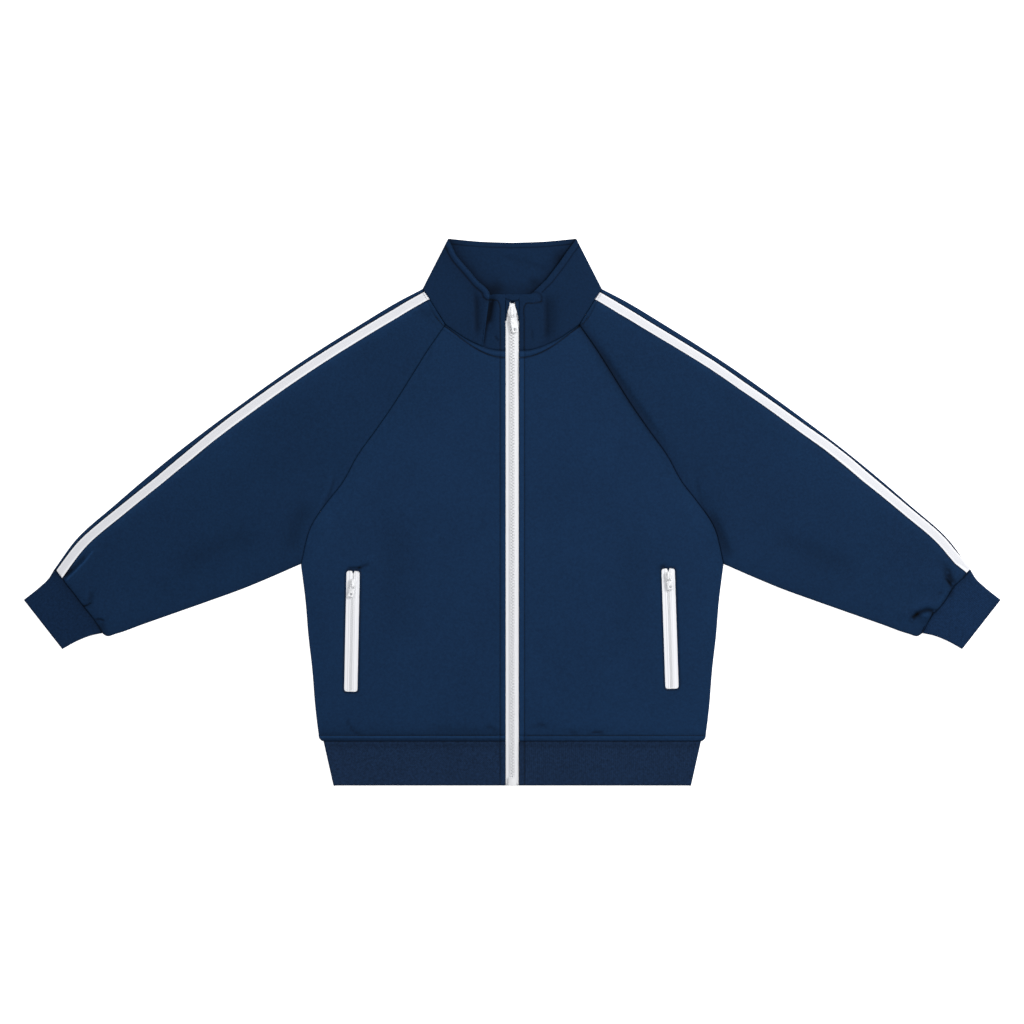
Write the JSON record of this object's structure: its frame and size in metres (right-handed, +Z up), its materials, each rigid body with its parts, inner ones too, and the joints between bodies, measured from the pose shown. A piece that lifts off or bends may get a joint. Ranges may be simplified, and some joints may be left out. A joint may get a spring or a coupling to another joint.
{
  "type": "zip-up track jacket laid flat",
  "caption": "Navy zip-up track jacket with stand collar, raglan sleeves with a white stripe, rib cuffs and hem, and zip pockets, laid flat with its front up.",
  "frame": {"origin": "under the middle of the jacket's outline, on the surface that it lies on", "axes": "+X from the wearer's right sleeve to the left one, +Y from the hem to the collar, +Z up from the surface, towards the jacket's front"},
  "size_m": [1.318, 0.738, 0.0106],
  "materials": {
    "navy_knit": "matt double knit",
    "navy_rib": "matt fine rib knit",
    "white_tape": "satin woven tape",
    "white_plastic": "moulded, satin",
    "white_enamel": "white enamel, semi-gloss"
  },
  "bodies": {
    "jacket": {"back": "navy_knit", "hem_band": "navy_rib", "collar": "navy_knit", "chin_guard": "navy_knit", "front_r": "navy_knit", "sleeve_r": "navy_knit", "stripe_r": "white_tape", "cuff_r": "navy_rib", "main_tape_r": "white_tape", "pocket_r_tape": "white_tape", "pocket_r_teeth": "white_plastic", "pocket_r_slider": "white_enamel", "front_l": "navy_knit", "sleeve_l": "navy_knit", "stripe_l": "white_tape", "cuff_l": "navy_rib", "main_tape_l": "white_tape", "pocket_l_tape": "white_tape", "pocket_l_teeth": "white_plastic", "pocket_l_slider": "white_enamel", "main_teeth": "white_plastic", "zip_box": "white_plastic", "main_slider": "white_enamel"},
    "main_pull": {"main_pull": "white_enamel"},
    "pocket_r_pull": {"pocket_r_pull": "white_enamel"},
    "pocket_l_pull": {"pocket_l_pull": "white_enamel"}
  },
  "joints": [
    {"name": "main_pull_lift", "type": "hinge", "parent": "jacket", "child": "main_pull", "pos_m": [0, 0.2665, 0.0085], "axis": [-0.9833, -0.1822, 0], "range_deg": [0, 120]},
    {"name": "pocket_r_pull_lift", "type": "hinge", "parent": "jacket", "child": "pocket_r_pull", "pos_m": [-0.2154, -0.0986, 0.0072], "axis": [-0.9816, 0.1908, 0], "range_deg": [0, 120]},
    {"name": "pocket_l_pull_lift", "type": "hinge", "parent": "jacket", "child": "pocket_l_pull", "pos_m": [0.211, -0.0888, 0.0072], "axis": [-0.9781, -0.2079, 0], "range_deg": [0, 120]}
  ]
}
